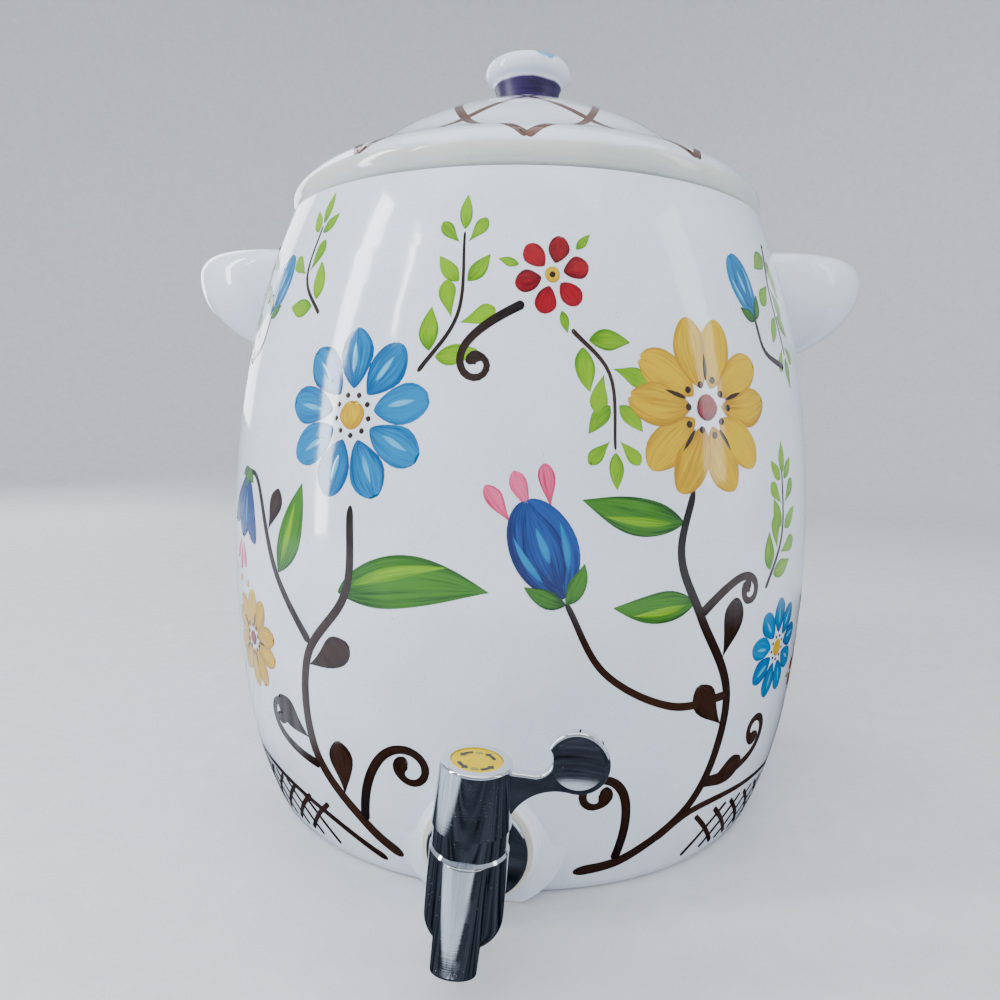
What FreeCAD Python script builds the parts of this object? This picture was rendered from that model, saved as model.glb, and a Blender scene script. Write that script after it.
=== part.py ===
# Clay water pot with a lift-off lid and a quarter-turn plug tap.
# Millimetres, +Z up. The origin is the centre of the base, and the tap faces -Y.
import FreeCAD, Part
import math
import os

from FreeCAD import Vector

# Crock: the outer wall is tangent arcs that leave the belly upright, as (radius, height)
BELLY = (165.3, 140.0)
WALL_ABOVE = [(157.2, 235.0), (145.1, 285.0), (133.6, 317.0)]
WALL_BELOW = [(159.9, 60.0), (149.9, 18.0), (144.6, 4.0)]
FOOT_RADIUS = 139.8
RIM_Z = 320.0
RIM_OUTER = 130.2
WALL = 10.0
FLOOR_Z = 13.0
FLOOR_RADIUS = 128.0
NECK_INSIDE = (122.4, 304.0)
MOUTH_RADIUS = 118.0
RIM_ROUND = 3.0

# Lugs
LUG_SKEW = 2.75
LUG_AXIS_X = 137.0
LUG_TOP_Z = 302.6
LUG_REACH = 55.0
LUG_TIP_ROUND = 12.0
LUG_UNDERSIDE = [(47.0, 269.5), (20.0, 251.5)]
LUG_FOOT_Z = 250.0

# Lid
SEAT_GAP = 0.3
BEAD_RADIUS = 7.0
BEAD_CENTRE_R = 125.0
BEAD_START_ANGLE = 37.0
LID_CROWN_HEADING = -17.0
LID_OUTLINE = [(70.0, 369.8), (92.0, 355.0), (116.0, 342.0)]
LID_CROWN_Z = 391.5
LID_HOLLOW_EDGE_Z = 331.3
LID_HOLLOW_TOP = 380.0
RING_OUTER = 115.5
RING_INNER = 107.5
RING_DEPTH = 12.0

# Knob
KNOB_NECK_R = 17.2
KNOB_OUTLINE = [(17.4, 395.0), (19.4, 402.5), (21.5, 404.6), (24.4, 409.6), (19.5, 415.2)]
KNOB_TOP_Z = 417.0

# Tap: the shank lies along Y at this height, and the whole tap leans about it
SHANK_Z = 34.0
TAP_LEAN = 3.85
BOSS_FACE_Y = -164.0
BOSS_RADIUS = 25.0
BOSS_FLARE_RADIUS = 38.0
BOSS_FLARE_Y = -149.5
TAP_HOLE_RADIUS = 9.5
SEAT_FACE_Y = -141.0
BOSS_INSERT_RADIUS = 20.0

# Shank fittings
SHANK_RADIUS = 7.9
SHANK_END_Y = -122.0
WATERWAY_RADIUS = 4.5
OUTER_WASHER_RADIUS = 23.5
OUTER_WASHER_THICK = 2.0
FLANGE_RADIUS = 21.5
FLANGE_THICK = 3.0
INNER_WASHER_RADIUS = 16.0
INNER_WASHER_THICK = 2.5
WASHER_HOLE_RADIUS = 8.2
LOCK_NUT_FLATS = 24.0
LOCK_NUT_THICK = 7.0
THREAD_GAP = 0.05

# Barrel
BARREL_Y = -200.0
BARREL_RADIUS = 14.9
BARREL_BOTTOM_Z = 21.0
BARREL_ROUND = 9.0
NECK_RADIUS = 14.2
NECK_Z = 58.0
BARREL_TOP_Z = 66.0
PLUG_BORE_RADIUS = 8.0
PLUG_BORE_FLOOR_Z = 25.0
GLAND_BORE_RADIUS = 10.5
GLAND_SHOULDER_Z = 54.0

# Spout, a tapering tube that comes out of the barrel's front
SPOUT_TIP = Vector(0, -219.5, 20.5)
SPOUT_ANGLE = 19.0
SPOUT_LENGTH = 40.0
SPOUT_TOP_RADIUS = 9.6
SPOUT_TIP_RADIUS = 8.3
OUTLET_RADIUS = 6.2
OUTLET_DEPTH = 12.0

# Plug, stem and seals
RUNNING_GAP = 0.05
PLUG_RADIUS = PLUG_BORE_RADIUS - RUNNING_GAP
PLUG_BOTTOM_Z = 25.3
PLUG_TOP_Z = 53.7
STEM_RADIUS = 4.2
STEM_SHOULDER_Z = 72.0
STEM_SQUARE = 5.6
STEM_TOP_Z = 82.0
SEAL_THICK = 2.2
GROOVE_RADIUS = 5.7
GROOVE_WIDTH = 2.4
SEAL_Z = {"plug_o_ring_lower": 27.4, "plug_o_ring_upper": 44.0}

# Gland nut
GLAND_HEAD_FLATS = 20.0
GLAND_HEAD_THICK = 4.0

# Cap and lever
CAP_BOTTOM_Z = 66.4
CAP_TOP_Z = 90.3
CAP_BOTTOM_RADIUS = 14.8
CAP_TOP_RADIUS = 13.3
CAP_EDGE_ROUND = 1.2
CAP_HOLLOW_RADIUS = 12.2
CAP_HOLLOW_TOP_Z = 71.5
LEVER_THICK = 5.0
LEVER_TOP_Z = 88.0
LEVER_ROOT_Z = 70.0
LEVER_FLAT_END_X = 21.0
PADDLE_CENTRE = (36.5, 94.5)
PADDLE_RADIUS = 11.7
DISH_RADIUS = 9.6
DISH_DEPTH = 0.9
LEVER_EDGE_ROUND = 1.1

# Index disc and screw
DISC_RADIUS = 9.75
DISC_RECESS_RADIUS = 9.8
DISC_BOTTOM_Z = 88.4
DISC_THICK = 1.4
SCREW_HEAD_RADIUS = 3.6
SCREW_HEAD_HEIGHT = 2.6
SCREW_RADIUS = 1.6
SCREW_SEAT_Z = 85.0
SCREW_END_Z = 74.0
SCREW_HOLE_Z = 73.0
SCREW_POCKET_RADIUS = 4.4

UP = Vector(0, 0, 1)
INWARD = Vector(0, 1, 0)


# Small helpers for outlines and solids

def at(radius, z):
    return Vector(radius, 0, z)


def line(start, end):
    return Part.LineSegment(start, end).toShape()


def eased(start, middle, end):
    """A small rounded corner, kept as two short bevels."""
    return [line(start, middle), line(middle, end)]


def corner_arc(centre, radius, start_angle, end_angle):
    """An arc in the X-Z plane, angles in degrees from +X towards +Z."""
    places = []
    for angle in (start_angle, (start_angle + end_angle) / 2, end_angle):
        turn = math.radians(angle)
        places.append(centre + Vector(radius * math.cos(turn), 0, radius * math.sin(turn)))
    return Part.Arc(*places).toShape()


def headings_along(start, heading, ends):
    """The heading in degrees at the start and at the end of each of a chain of tangent arcs."""
    headings = [heading]
    for here, there in zip([start] + ends, ends):
        chord = there - here
        headings.append(2 * math.degrees(math.atan2(chord.z, chord.x)) - headings[-1])
    return headings


def bends(start, heading, ends, depth=0):
    """Tangent arcs in the X-Z plane, given by where each one ends and the first one's heading in degrees.
    With a depth, every arc lies that far to the left of the way of travel, as the other face of a wall."""
    places = [start] + ends
    headings = headings_along(start, heading, ends)
    shifted = []
    for place, angle in zip(places, headings):
        turn = math.radians(angle)
        shifted.append(place + Vector(-math.sin(turn), 0, math.cos(turn)) * depth)
    edges = []
    for here, there, angle in zip(shifted, shifted[1:], headings):
        chord = there - here
        half_turn = math.radians(math.degrees(math.atan2(chord.z, chord.x)) - angle)
        half_turn = math.atan2(math.sin(half_turn), math.cos(half_turn))
        bulge = Vector(chord.z, 0, -chord.x) * (0.5 * math.tan(half_turn / 2))
        edges.append(Part.Arc(here, (here + there) * 0.5 + bulge, there).toShape())
    return edges, shifted[-1]


def points(pairs):
    return [at(radius, z) for radius, z in pairs]


def spun(edges, axis_point=Vector(0, 0, 0), axis=UP):
    face = Part.Face(Part.Wire(edges))
    return face.revolve(axis_point, axis, 360)


def rod(radius, start, end):
    direction = end - start
    return Part.makeCylinder(radius, direction.Length, start, direction)


def hexagon(flats, start, end):
    direction = end - start
    corner = flats / math.sqrt(3)
    side = Vector(1, 0, 0)
    across = direction.cross(side).normalize()
    points = []
    for step in range(7):
        turn = math.radians(60 * step)
        points.append(start + side * corner * math.cos(turn) + across * corner * math.sin(turn))
    return Part.Face(Part.makePolygon(points)).extrude(direction)


def on_shank(y):
    return Vector(0, y, SHANK_Z)


def on_barrel(z):
    return Vector(0, BARREL_Y, z)


def leaned(shape):
    turned = shape.copy()
    turned.rotate(on_shank(0), INWARD, TAP_LEAN)
    return turned


def outer_edge_at(shape, z):
    """The widest edge whose points all lie at height z."""
    level = [edge for edge in shape.Edges
             if abs(edge.BoundBox.ZMin - z) < 0.01 and abs(edge.BoundBox.ZMax - z) < 0.01]
    return max(level, key=lambda edge: edge.Length)


# Crock

def crock_outside():
    upper, shoulder = bends(at(*BELLY), 90, points(WALL_ABOVE))
    lower, wall_foot = bends(at(*BELLY), -90, points(WALL_BELOW))
    foot_edge = at(FOOT_RADIUS, 0)
    foot_mid = at(FOOT_RADIUS + 3.4, 1.3)
    rim_edge = at(RIM_OUTER, RIM_Z)
    rim_mid = at(shoulder.x - 0.8, RIM_Z - 0.9)
    return spun([
        line(at(0, 0), foot_edge),
        *eased(foot_edge, foot_mid, wall_foot),
        *reversed(lower),
        *upper,
        *eased(shoulder, rim_mid, rim_edge),
        line(rim_edge, at(0, RIM_Z)),
        line(at(0, RIM_Z), at(0, 0)),
    ])


def crock_inside():
    upper, wall_top = bends(at(*BELLY), 90, points(WALL_ABOVE[:2]), WALL)
    lower, wall_low = bends(at(*BELLY), -90, points(WALL_BELOW[:2]), -WALL)
    top_heading = headings_along(at(*BELLY), 90, points(WALL_ABOVE[:2]))[-1]
    neck, neck_top = bends(wall_top, top_heading, [at(*NECK_INSIDE), at(MOUTH_RADIUS, RIM_Z - RIM_ROUND)])
    floor_edge = at(FLOOR_RADIUS, FLOOR_Z)
    floor_mid = at(wall_low.x - 3.2, FLOOR_Z + 3.0)
    rim_mid = at(MOUTH_RADIUS + 0.3 * RIM_ROUND, RIM_Z - 0.3 * RIM_ROUND)
    above = RIM_Z + 1
    mouth_edge = MOUTH_RADIUS + RIM_ROUND
    return spun([
        line(at(0, FLOOR_Z), floor_edge),
        *eased(floor_edge, floor_mid, wall_low),
        *reversed(lower),
        *upper,
        *neck,
        *eased(at(MOUTH_RADIUS, RIM_Z - RIM_ROUND), rim_mid, at(mouth_edge, RIM_Z)),
        line(at(mouth_edge, RIM_Z), at(mouth_edge, above)),
        line(at(mouth_edge, above), at(0, above)),
        line(at(0, above), at(0, FLOOR_Z)),
    ])


def boss_form():
    """Raised clay round the tap hole, flat in front and flaring out to meet the wall."""
    face_round = 1.5
    flare_start_y = BOSS_FACE_Y + 4
    root_y = BOSS_FLARE_Y + 6

    def beside(radius, y):
        return Vector(radius, y, SHANK_Z)

    flare_foot = beside(BOSS_FLARE_RADIUS, BOSS_FLARE_Y)
    flare_mid = beside(BOSS_RADIUS + 2.6, flare_start_y + 6.6)
    flare_top = beside(BOSS_RADIUS, flare_start_y)
    edges = [
        line(beside(0, root_y), beside(BOSS_FLARE_RADIUS, root_y)),
        line(beside(BOSS_FLARE_RADIUS, root_y), flare_foot),
        Part.Arc(flare_foot, flare_mid, flare_top).toShape(),
        line(flare_top, beside(BOSS_RADIUS, BOSS_FACE_Y + face_round)),
        line(beside(BOSS_RADIUS, BOSS_FACE_Y + face_round), beside(BOSS_RADIUS - face_round, BOSS_FACE_Y)),
        line(beside(BOSS_RADIUS - face_round, BOSS_FACE_Y), beside(0, BOSS_FACE_Y)),
        line(beside(0, BOSS_FACE_Y), beside(0, root_y)),
    ]
    boss = spun(edges, on_shank(0), INWARD)
    above_base = Part.makeBox(120, 60, 120, Vector(-60, BOSS_FACE_Y - 10, 0))
    return boss.common(above_base)


def crock_body():
    hollow_pot = crock_outside().cut(crock_inside())
    return hollow_pot.cut(rod(BOSS_INSERT_RADIUS, on_shank(BOSS_FACE_Y - 5), on_shank(SHANK_END_Y + 4)))


def tap_boss():
    """The boss is set into a round hole in the wall, with a flat seat on each side for the tap's washers."""
    insert = rod(BOSS_INSERT_RADIUS, on_shank(BOSS_FACE_Y + 1), on_shank(SEAT_FACE_Y))
    boss = boss_form().cut(crock_outside()).fuse(insert)
    boss = boss.cut(rod(TAP_HOLE_RADIUS, on_shank(BOSS_FACE_Y - 5), on_shank(SHANK_END_Y)))
    return boss.removeSplitter()


def lug(side):
    """Half-moon ledge: a turned, bowl-like form, of which the wall leaves only the outer part."""
    tip_centre = at(LUG_REACH - LUG_TIP_ROUND, LUG_TOP_Z - LUG_TIP_ROUND)
    tip_low = at(LUG_REACH, LUG_TOP_Z - LUG_TIP_ROUND)
    underside, foot = bends(tip_low, -90, points(LUG_UNDERSIDE) + [at(0, LUG_FOOT_Z)])
    form = spun([
        line(at(0, LUG_TOP_Z), at(LUG_REACH - LUG_TIP_ROUND, LUG_TOP_Z)),
        corner_arc(tip_centre, LUG_TIP_ROUND, 90, 0),
        *underside,
        line(foot, at(0, LUG_TOP_Z)),
    ])
    form.translate(Vector(side * LUG_AXIS_X, 0, 0))
    form.rotate(Vector(0, 0, 0), UP, LUG_SKEW)
    return form.cut(crock_outside())


# Lid and knob

def lid():
    low = RIM_Z + SEAT_GAP
    bead_centre = at(BEAD_CENTRE_R, low + BEAD_RADIUS)
    turn = math.radians(BEAD_START_ANGLE)
    bead_start = bead_centre + Vector(BEAD_RADIUS * math.cos(turn), 0, BEAD_RADIUS * math.sin(turn))
    crown_edge = at(KNOB_NECK_R, LID_CROWN_Z)
    dome, dome_end = bends(crown_edge, LID_CROWN_HEADING, points(LID_OUTLINE) + [bead_start])
    ring_low = low - RING_DEPTH
    ring_round = 2.0
    ring_ease = 0.3 * ring_round
    hollow_edge = at(RING_INNER, LID_HOLLOW_EDGE_Z)
    hollow, hollow_end = bends(at(0, LID_HOLLOW_TOP), 0, [hollow_edge])
    return spun([
        line(at(0, LID_CROWN_Z), crown_edge),
        *dome,
        corner_arc(bead_centre, BEAD_RADIUS, BEAD_START_ANGLE, -90),
        line(at(BEAD_CENTRE_R, low), at(RING_OUTER, low)),
        line(at(RING_OUTER, low), at(RING_OUTER, ring_low + ring_round)),
        *eased(at(RING_OUTER, ring_low + ring_round), at(RING_OUTER - ring_ease, ring_low + ring_ease),
               at(RING_OUTER - ring_round, ring_low)),
        line(at(RING_OUTER - ring_round, ring_low), at(RING_INNER + ring_round, ring_low)),
        *eased(at(RING_INNER + ring_round, ring_low), at(RING_INNER + ring_ease, ring_low + ring_ease),
               at(RING_INNER, ring_low + ring_round)),
        line(at(RING_INNER, ring_low + ring_round), hollow_edge),
        *reversed(hollow),
        line(at(0, LID_HOLLOW_TOP), at(0, LID_CROWN_Z)),
    ])


def lid_knob():
    crown = at(0, KNOB_TOP_Z)
    foot = at(KNOB_NECK_R, LID_CROWN_Z)
    side, cap_edge = bends(foot, 90, points(KNOB_OUTLINE))
    rise = KNOB_TOP_Z - cap_edge.z
    cap_radius = (cap_edge.x ** 2 + rise ** 2) / (2 * rise)
    half_way = math.asin(cap_edge.x / cap_radius) / 2
    cap_mid = at(cap_radius * math.sin(half_way), KNOB_TOP_Z - cap_radius * (1 - math.cos(half_way)))
    return spun([
        line(at(0, LID_CROWN_Z), foot),
        *side,
        Part.Arc(cap_edge, cap_mid, crown).toShape(),
        line(crown, at(0, LID_CROWN_Z)),
    ])


# Tap body: barrel, spout, neck, flange and shank in one casting

def spout_axis():
    tilt = math.radians(SPOUT_ANGLE)
    return Vector(0, -math.sin(tilt), -math.cos(tilt))


def barrel_form():
    def beside(radius, z):
        return on_barrel(z) + Vector(radius, 0, 0)

    round_centre = beside(BARREL_RADIUS - BARREL_ROUND, BARREL_BOTTOM_Z + BARREL_ROUND)
    return spun([
        line(beside(0, BARREL_BOTTOM_Z), beside(BARREL_RADIUS - BARREL_ROUND, BARREL_BOTTOM_Z)),
        corner_arc(round_centre, BARREL_ROUND, -90, 0),
        line(beside(BARREL_RADIUS, BARREL_BOTTOM_Z + BARREL_ROUND), beside(BARREL_RADIUS, NECK_Z - 1.2)),
        line(beside(BARREL_RADIUS, NECK_Z - 1.2), beside(NECK_RADIUS, NECK_Z)),
        line(beside(NECK_RADIUS, NECK_Z), beside(NECK_RADIUS, BARREL_TOP_Z)),
        line(beside(NECK_RADIUS, BARREL_TOP_Z), beside(0, BARREL_TOP_Z)),
        line(beside(0, BARREL_TOP_Z), beside(0, BARREL_BOTTOM_Z)),
    ], on_barrel(0), UP)


def tap_body():
    downward = spout_axis()
    spout_top = SPOUT_TIP - downward * SPOUT_LENGTH
    spout = Part.makeCone(SPOUT_TOP_RADIUS, SPOUT_TIP_RADIUS, SPOUT_LENGTH, spout_top, downward)
    lip = min(spout.Edges, key=lambda edge: edge.BoundBox.ZMax if edge.BoundBox.DiagonalLength > 5 else 1e3)
    spout = spout.makeFillet(0.9, [lip])
    below_neck = Part.makeBox(60, 60, NECK_Z - 1.2, Vector(-30, BARREL_Y - 50, 0))
    spout = spout.common(below_neck)

    flange_face_y = BOSS_FACE_Y - OUTER_WASHER_THICK
    flange_front_y = flange_face_y - FLANGE_THICK
    flange = rod(FLANGE_RADIUS, on_shank(flange_front_y), on_shank(flange_face_y))
    front_edge = min(flange.Edges, key=lambda edge: edge.BoundBox.YMax)
    flange = flange.makeFillet(1.4, [front_edge])
    neck = Part.makeCone(12.0, 10.0, flange_front_y - BARREL_Y, on_shank(BARREL_Y), INWARD)
    collar = rod(11.4, on_shank(flange_front_y - 2.5), on_shank(flange_front_y))
    shank = rod(SHANK_RADIUS, on_shank(BARREL_Y), on_shank(SHANK_END_Y))
    body = barrel_form().multiFuse([spout, flange, neck, collar, shank])

    outlet_end = SPOUT_TIP - downward * OUTLET_DEPTH
    turn_up = SPOUT_TIP - downward * ((SHANK_Z - SPOUT_TIP.z) / -downward.z)
    hollows = [
        rod(PLUG_BORE_RADIUS, on_barrel(PLUG_BORE_FLOOR_Z), on_barrel(BARREL_TOP_Z)),
        rod(GLAND_BORE_RADIUS, on_barrel(GLAND_SHOULDER_Z), on_barrel(BARREL_TOP_Z)),
        rod(WATERWAY_RADIUS, on_shank(BARREL_Y), on_shank(SHANK_END_Y)),
        rod(WATERWAY_RADIUS, on_shank(BARREL_Y), turn_up),
        rod(OUTLET_RADIUS, SPOUT_TIP, outlet_end),
        rod(WATERWAY_RADIUS, SPOUT_TIP, turn_up),
        Part.makeSphere(WATERWAY_RADIUS, turn_up),
    ]
    for hollow in hollows:
        body = body.cut(hollow)
    return leaned(body.removeSplitter())


# What holds the tap to the clay

def outer_washer():
    far = on_shank(BOSS_FACE_Y)
    near = on_shank(BOSS_FACE_Y - OUTER_WASHER_THICK)
    return leaned(rod(OUTER_WASHER_RADIUS, near, far).cut(rod(WASHER_HOLE_RADIUS, near, far)))


def inner_washer():
    near = on_shank(SEAT_FACE_Y)
    far = on_shank(SEAT_FACE_Y + INNER_WASHER_THICK)
    return leaned(rod(INNER_WASHER_RADIUS, near, far).cut(rod(WASHER_HOLE_RADIUS, near, far)))


def lock_nut():
    near = on_shank(SEAT_FACE_Y + INNER_WASHER_THICK)
    far = near + INWARD * LOCK_NUT_THICK
    nut = hexagon(LOCK_NUT_FLATS, near, far)
    corner = LOCK_NUT_FLATS / math.sqrt(3)
    chamfered = rod(corner - 0.4, near, far)
    return leaned(nut.common(chamfered).cut(rod(SHANK_RADIUS + THREAD_GAP, near, far)))


# Valve

def valve_plug():
    plug = rod(PLUG_RADIUS, on_barrel(PLUG_BOTTOM_Z), on_barrel(PLUG_TOP_Z))
    for height in SEAL_Z.values():
        low = on_barrel(height - GROOVE_WIDTH / 2)
        high = on_barrel(height + GROOVE_WIDTH / 2)
        plug = plug.cut(rod(PLUG_RADIUS + 1, low, high).cut(rod(GROOVE_RADIUS, low, high)))
    stem = rod(STEM_RADIUS, on_barrel(PLUG_TOP_Z), on_barrel(STEM_SHOULDER_Z))
    half = STEM_SQUARE / 2
    corner = on_barrel(STEM_SHOULDER_Z) - Vector(half, half, 0)
    square = Part.makeBox(STEM_SQUARE, STEM_SQUARE, STEM_TOP_Z - STEM_SHOULDER_Z, corner)
    plug = plug.multiFuse([stem, square])
    sideways = Vector(PLUG_RADIUS + 2, 0, 0)
    plug = plug.cut(rod(WATERWAY_RADIUS, on_barrel(SHANK_Z) - sideways, on_barrel(SHANK_Z) + sideways))
    plug = plug.cut(rod(SCREW_RADIUS + THREAD_GAP, on_barrel(SCREW_HOLE_Z), on_barrel(STEM_TOP_Z)))
    return leaned(plug)


def seal(height):
    thickness_radius = SEAL_THICK / 2
    return leaned(Part.makeTorus(PLUG_RADIUS - thickness_radius, thickness_radius, on_barrel(height), UP))


def plug_retaining_nut():
    thread = rod(GLAND_BORE_RADIUS - THREAD_GAP, on_barrel(GLAND_SHOULDER_Z), on_barrel(BARREL_TOP_Z))
    head = hexagon(GLAND_HEAD_FLATS, on_barrel(BARREL_TOP_Z), on_barrel(BARREL_TOP_Z + GLAND_HEAD_THICK))
    hole_top = on_barrel(BARREL_TOP_Z + GLAND_HEAD_THICK)
    nut = thread.fuse(head).cut(rod(STEM_RADIUS + RUNNING_GAP, on_barrel(GLAND_SHOULDER_Z), hole_top))
    return leaned(nut)


# Cap with its lever, disc and screw

def lever_plate():
    """Flat plate whose outline runs from the cap's side into a round paddle."""
    def there(x, z):
        return Vector(x, BARREL_Y - LEVER_THICK / 2, z)

    paddle = there(*PADDLE_CENTRE)

    def on_paddle(angle):
        turn = math.radians(angle)
        return paddle + Vector(PADDLE_RADIUS * math.cos(turn), 0, PADDLE_RADIUS * math.sin(turn))

    upper_join, lower_join = on_paddle(158), on_paddle(262)
    inside_x = 6.0
    flat_end = there(LEVER_FLAT_END_X, LEVER_TOP_Z)
    root_low = there(CAP_BOTTOM_RADIUS - 1, LEVER_ROOT_Z)
    rise, rise_end = bends(flat_end, 0, [upper_join])
    fall, fall_end = bends(lower_join, 172, [root_low])
    edges = [
        line(there(inside_x, LEVER_TOP_Z), flat_end),
        *rise,
        Part.Arc(upper_join, on_paddle(30), lower_join).toShape(),
        *fall,
        line(root_low, there(inside_x, LEVER_ROOT_Z)),
        line(there(inside_x, LEVER_ROOT_Z), there(inside_x, LEVER_TOP_Z)),
    ]
    plate = Part.Face(Part.Wire(edges)).extrude(Vector(0, LEVER_THICK, 0))
    rims = [edge for edge in plate.Edges
            if edge.BoundBox.YLength < 0.01 and edge.BoundBox.XMax > CAP_BOTTOM_RADIUS + 1]
    plate = plate.makeFillet(LEVER_EDGE_ROUND, rims)
    dish_sphere = (DISH_RADIUS ** 2 + DISH_DEPTH ** 2) / (2 * DISH_DEPTH)
    for side in (-1, 1):
        face_y = BARREL_Y + side * LEVER_THICK / 2
        offset = side * (dish_sphere - DISH_DEPTH)
        centre = Vector(PADDLE_CENTRE[0], face_y + offset, PADDLE_CENTRE[1])
        plate = plate.cut(Part.makeSphere(dish_sphere, centre))
    return plate


def handle_cap():
    height = CAP_TOP_Z - CAP_BOTTOM_Z
    cone = Part.makeCone(CAP_BOTTOM_RADIUS, CAP_TOP_RADIUS, height, on_barrel(CAP_BOTTOM_Z), UP)
    cone = cone.makeFillet(CAP_EDGE_ROUND, [outer_edge_at(cone, CAP_TOP_Z)])
    cap = cone.fuse(lever_plate())
    half = STEM_SQUARE / 2
    square = Part.makeBox(STEM_SQUARE, STEM_SQUARE, STEM_TOP_Z - CAP_HOLLOW_TOP_Z,
                          on_barrel(CAP_HOLLOW_TOP_Z) - Vector(half, half, 0))
    hollows = [
        rod(CAP_HOLLOW_RADIUS, on_barrel(CAP_BOTTOM_Z), on_barrel(CAP_HOLLOW_TOP_Z)),
        rod(STEM_RADIUS + THREAD_GAP, on_barrel(CAP_HOLLOW_TOP_Z), on_barrel(STEM_SHOULDER_Z)),
        square,
        rod(SCREW_RADIUS + 0.2, on_barrel(STEM_TOP_Z), on_barrel(SCREW_SEAT_Z)),
        rod(SCREW_POCKET_RADIUS, on_barrel(SCREW_SEAT_Z), on_barrel(DISC_BOTTOM_Z)),
        rod(DISC_RECESS_RADIUS, on_barrel(DISC_BOTTOM_Z), on_barrel(CAP_TOP_Z)),
    ]
    for hollow in hollows:
        cap = cap.cut(hollow)
    return leaned(cap)


def handle_screw():
    shaft = rod(SCREW_RADIUS, on_barrel(SCREW_END_Z), on_barrel(SCREW_SEAT_Z))
    head = rod(SCREW_HEAD_RADIUS, on_barrel(SCREW_SEAT_Z), on_barrel(SCREW_SEAT_Z + SCREW_HEAD_HEIGHT))
    head = head.makeFillet(0.9, [outer_edge_at(head, SCREW_SEAT_Z + SCREW_HEAD_HEIGHT)])
    slot_low = on_barrel(SCREW_SEAT_Z + SCREW_HEAD_HEIGHT - 1.1)
    slot = Part.makeBox(10, 0.9, 3, slot_low - Vector(5, 0.45, 0))
    return leaned(shaft.fuse(head).cut(slot))


def index_disc():
    disc = rod(DISC_RADIUS, on_barrel(DISC_BOTTOM_Z), on_barrel(DISC_BOTTOM_Z + DISC_THICK))
    return leaned(disc.makeFillet(0.3, [outer_edge_at(disc, DISC_BOTTOM_Z + DISC_THICK)]))


# Build and save every piece

PIECES = {
    "crock_body": crock_body(),
    "tap_boss": tap_boss(),
    "left_lug": lug(-1),
    "right_lug": lug(1),
    "lid": lid(),
    "lid_knob": lid_knob(),
    "tap_body": tap_body(),
    "outer_washer": outer_washer(),
    "inner_washer": inner_washer(),
    "lock_nut": lock_nut(),
    "plug_retaining_nut": plug_retaining_nut(),
    "valve_plug": valve_plug(),
    "plug_o_ring_upper": seal(SEAL_Z["plug_o_ring_upper"]),
    "plug_o_ring_lower": seal(SEAL_Z["plug_o_ring_lower"]),
    "handle_cap": handle_cap(),
    "handle_screw": handle_screw(),
    "index_disc": index_disc(),
}

os.makedirs("parts", exist_ok=True)
for name, shape in PIECES.items():
    solid = shape.Solids[0] if len(shape.Solids) == 1 else shape
    solid.exportStep("parts/" + name + ".step")
    box = solid.BoundBox
    print(name, "solids", len(shape.Solids), "valid", shape.isValid(), "volume", round(shape.Volume),
          "x", round(box.XMin, 1), round(box.XMax, 1), "y", round(box.YMin, 1), round(box.YMax, 1),
          "z", round(box.ZMin, 1), round(box.ZMax, 1))

lean = math.radians(TAP_LEAN)
axis = (math.sin(lean), 0, math.cos(lean))


def lean_point(point):
    offset = point - on_shank(0)
    x = offset.x * math.cos(lean) + offset.z * math.sin(lean)
    z = -offset.x * math.sin(lean) + offset.z * math.cos(lean)
    return Vector(x, point.y, SHANK_Z + z)


def lean_direction(direction):
    x = direction.x * math.cos(lean) + direction.z * math.sin(lean)
    z = -direction.x * math.sin(lean) + direction.z * math.cos(lean)
    return Vector(x, direction.y, z)


print("tap axis", [round(v, 6) for v in axis], "through", lean_point(on_barrel(SHANK_Z)))
print("outlet at", lean_point(SPOUT_TIP - spout_axis() * OUTLET_DEPTH / 2), "axis", lean_direction(spout_axis()))
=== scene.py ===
# %% [markdown]
# # A painted clay water pot with a tap
# The real object is a thrown clay crock with two ledge handles, a domed lid and a chromed tap. It is glazed
# white and painted by hand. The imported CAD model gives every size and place, and this lesson gives it its
# finishes, its painting and its light. Loading the frame comes first, because all the rest is placed on it.

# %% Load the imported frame
import math

import bmesh
import bpy
from mathutils import Matrix, Vector


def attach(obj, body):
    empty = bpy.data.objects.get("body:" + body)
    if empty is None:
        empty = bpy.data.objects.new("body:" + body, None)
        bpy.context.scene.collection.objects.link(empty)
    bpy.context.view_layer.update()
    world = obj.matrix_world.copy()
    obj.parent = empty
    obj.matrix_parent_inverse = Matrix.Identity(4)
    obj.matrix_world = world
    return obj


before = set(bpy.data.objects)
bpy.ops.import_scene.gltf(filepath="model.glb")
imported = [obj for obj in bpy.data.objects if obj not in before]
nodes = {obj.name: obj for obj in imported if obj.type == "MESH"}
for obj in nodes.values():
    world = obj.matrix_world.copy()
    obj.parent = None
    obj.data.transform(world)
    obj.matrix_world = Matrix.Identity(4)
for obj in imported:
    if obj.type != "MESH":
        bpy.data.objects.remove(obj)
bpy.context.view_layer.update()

print("pieces in the frame:", ", ".join(sorted(nodes)))

# %% [markdown]
# ## Camera
# The photograph was taken from close by with a wide lens, a little to the right of the tap and above the middle
# of the pot. Such a view makes the belly swell and the base shrink, so the lens and the distance matter as much
# as the direction. The camera's turn is built from its parts: pitch, a small roll, and the turn round the pot.

# %% Camera
LENS = 27.04
CAMERA_DISTANCE = 0.4609
CAMERA_HEIGHT = 0.2166
PITCH_DOWN = math.radians(6.72)
TURN_LEFT = math.radians(1.41)
ROLL = math.radians(1.14)
ROUND_POT = math.radians(4.8)


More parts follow.
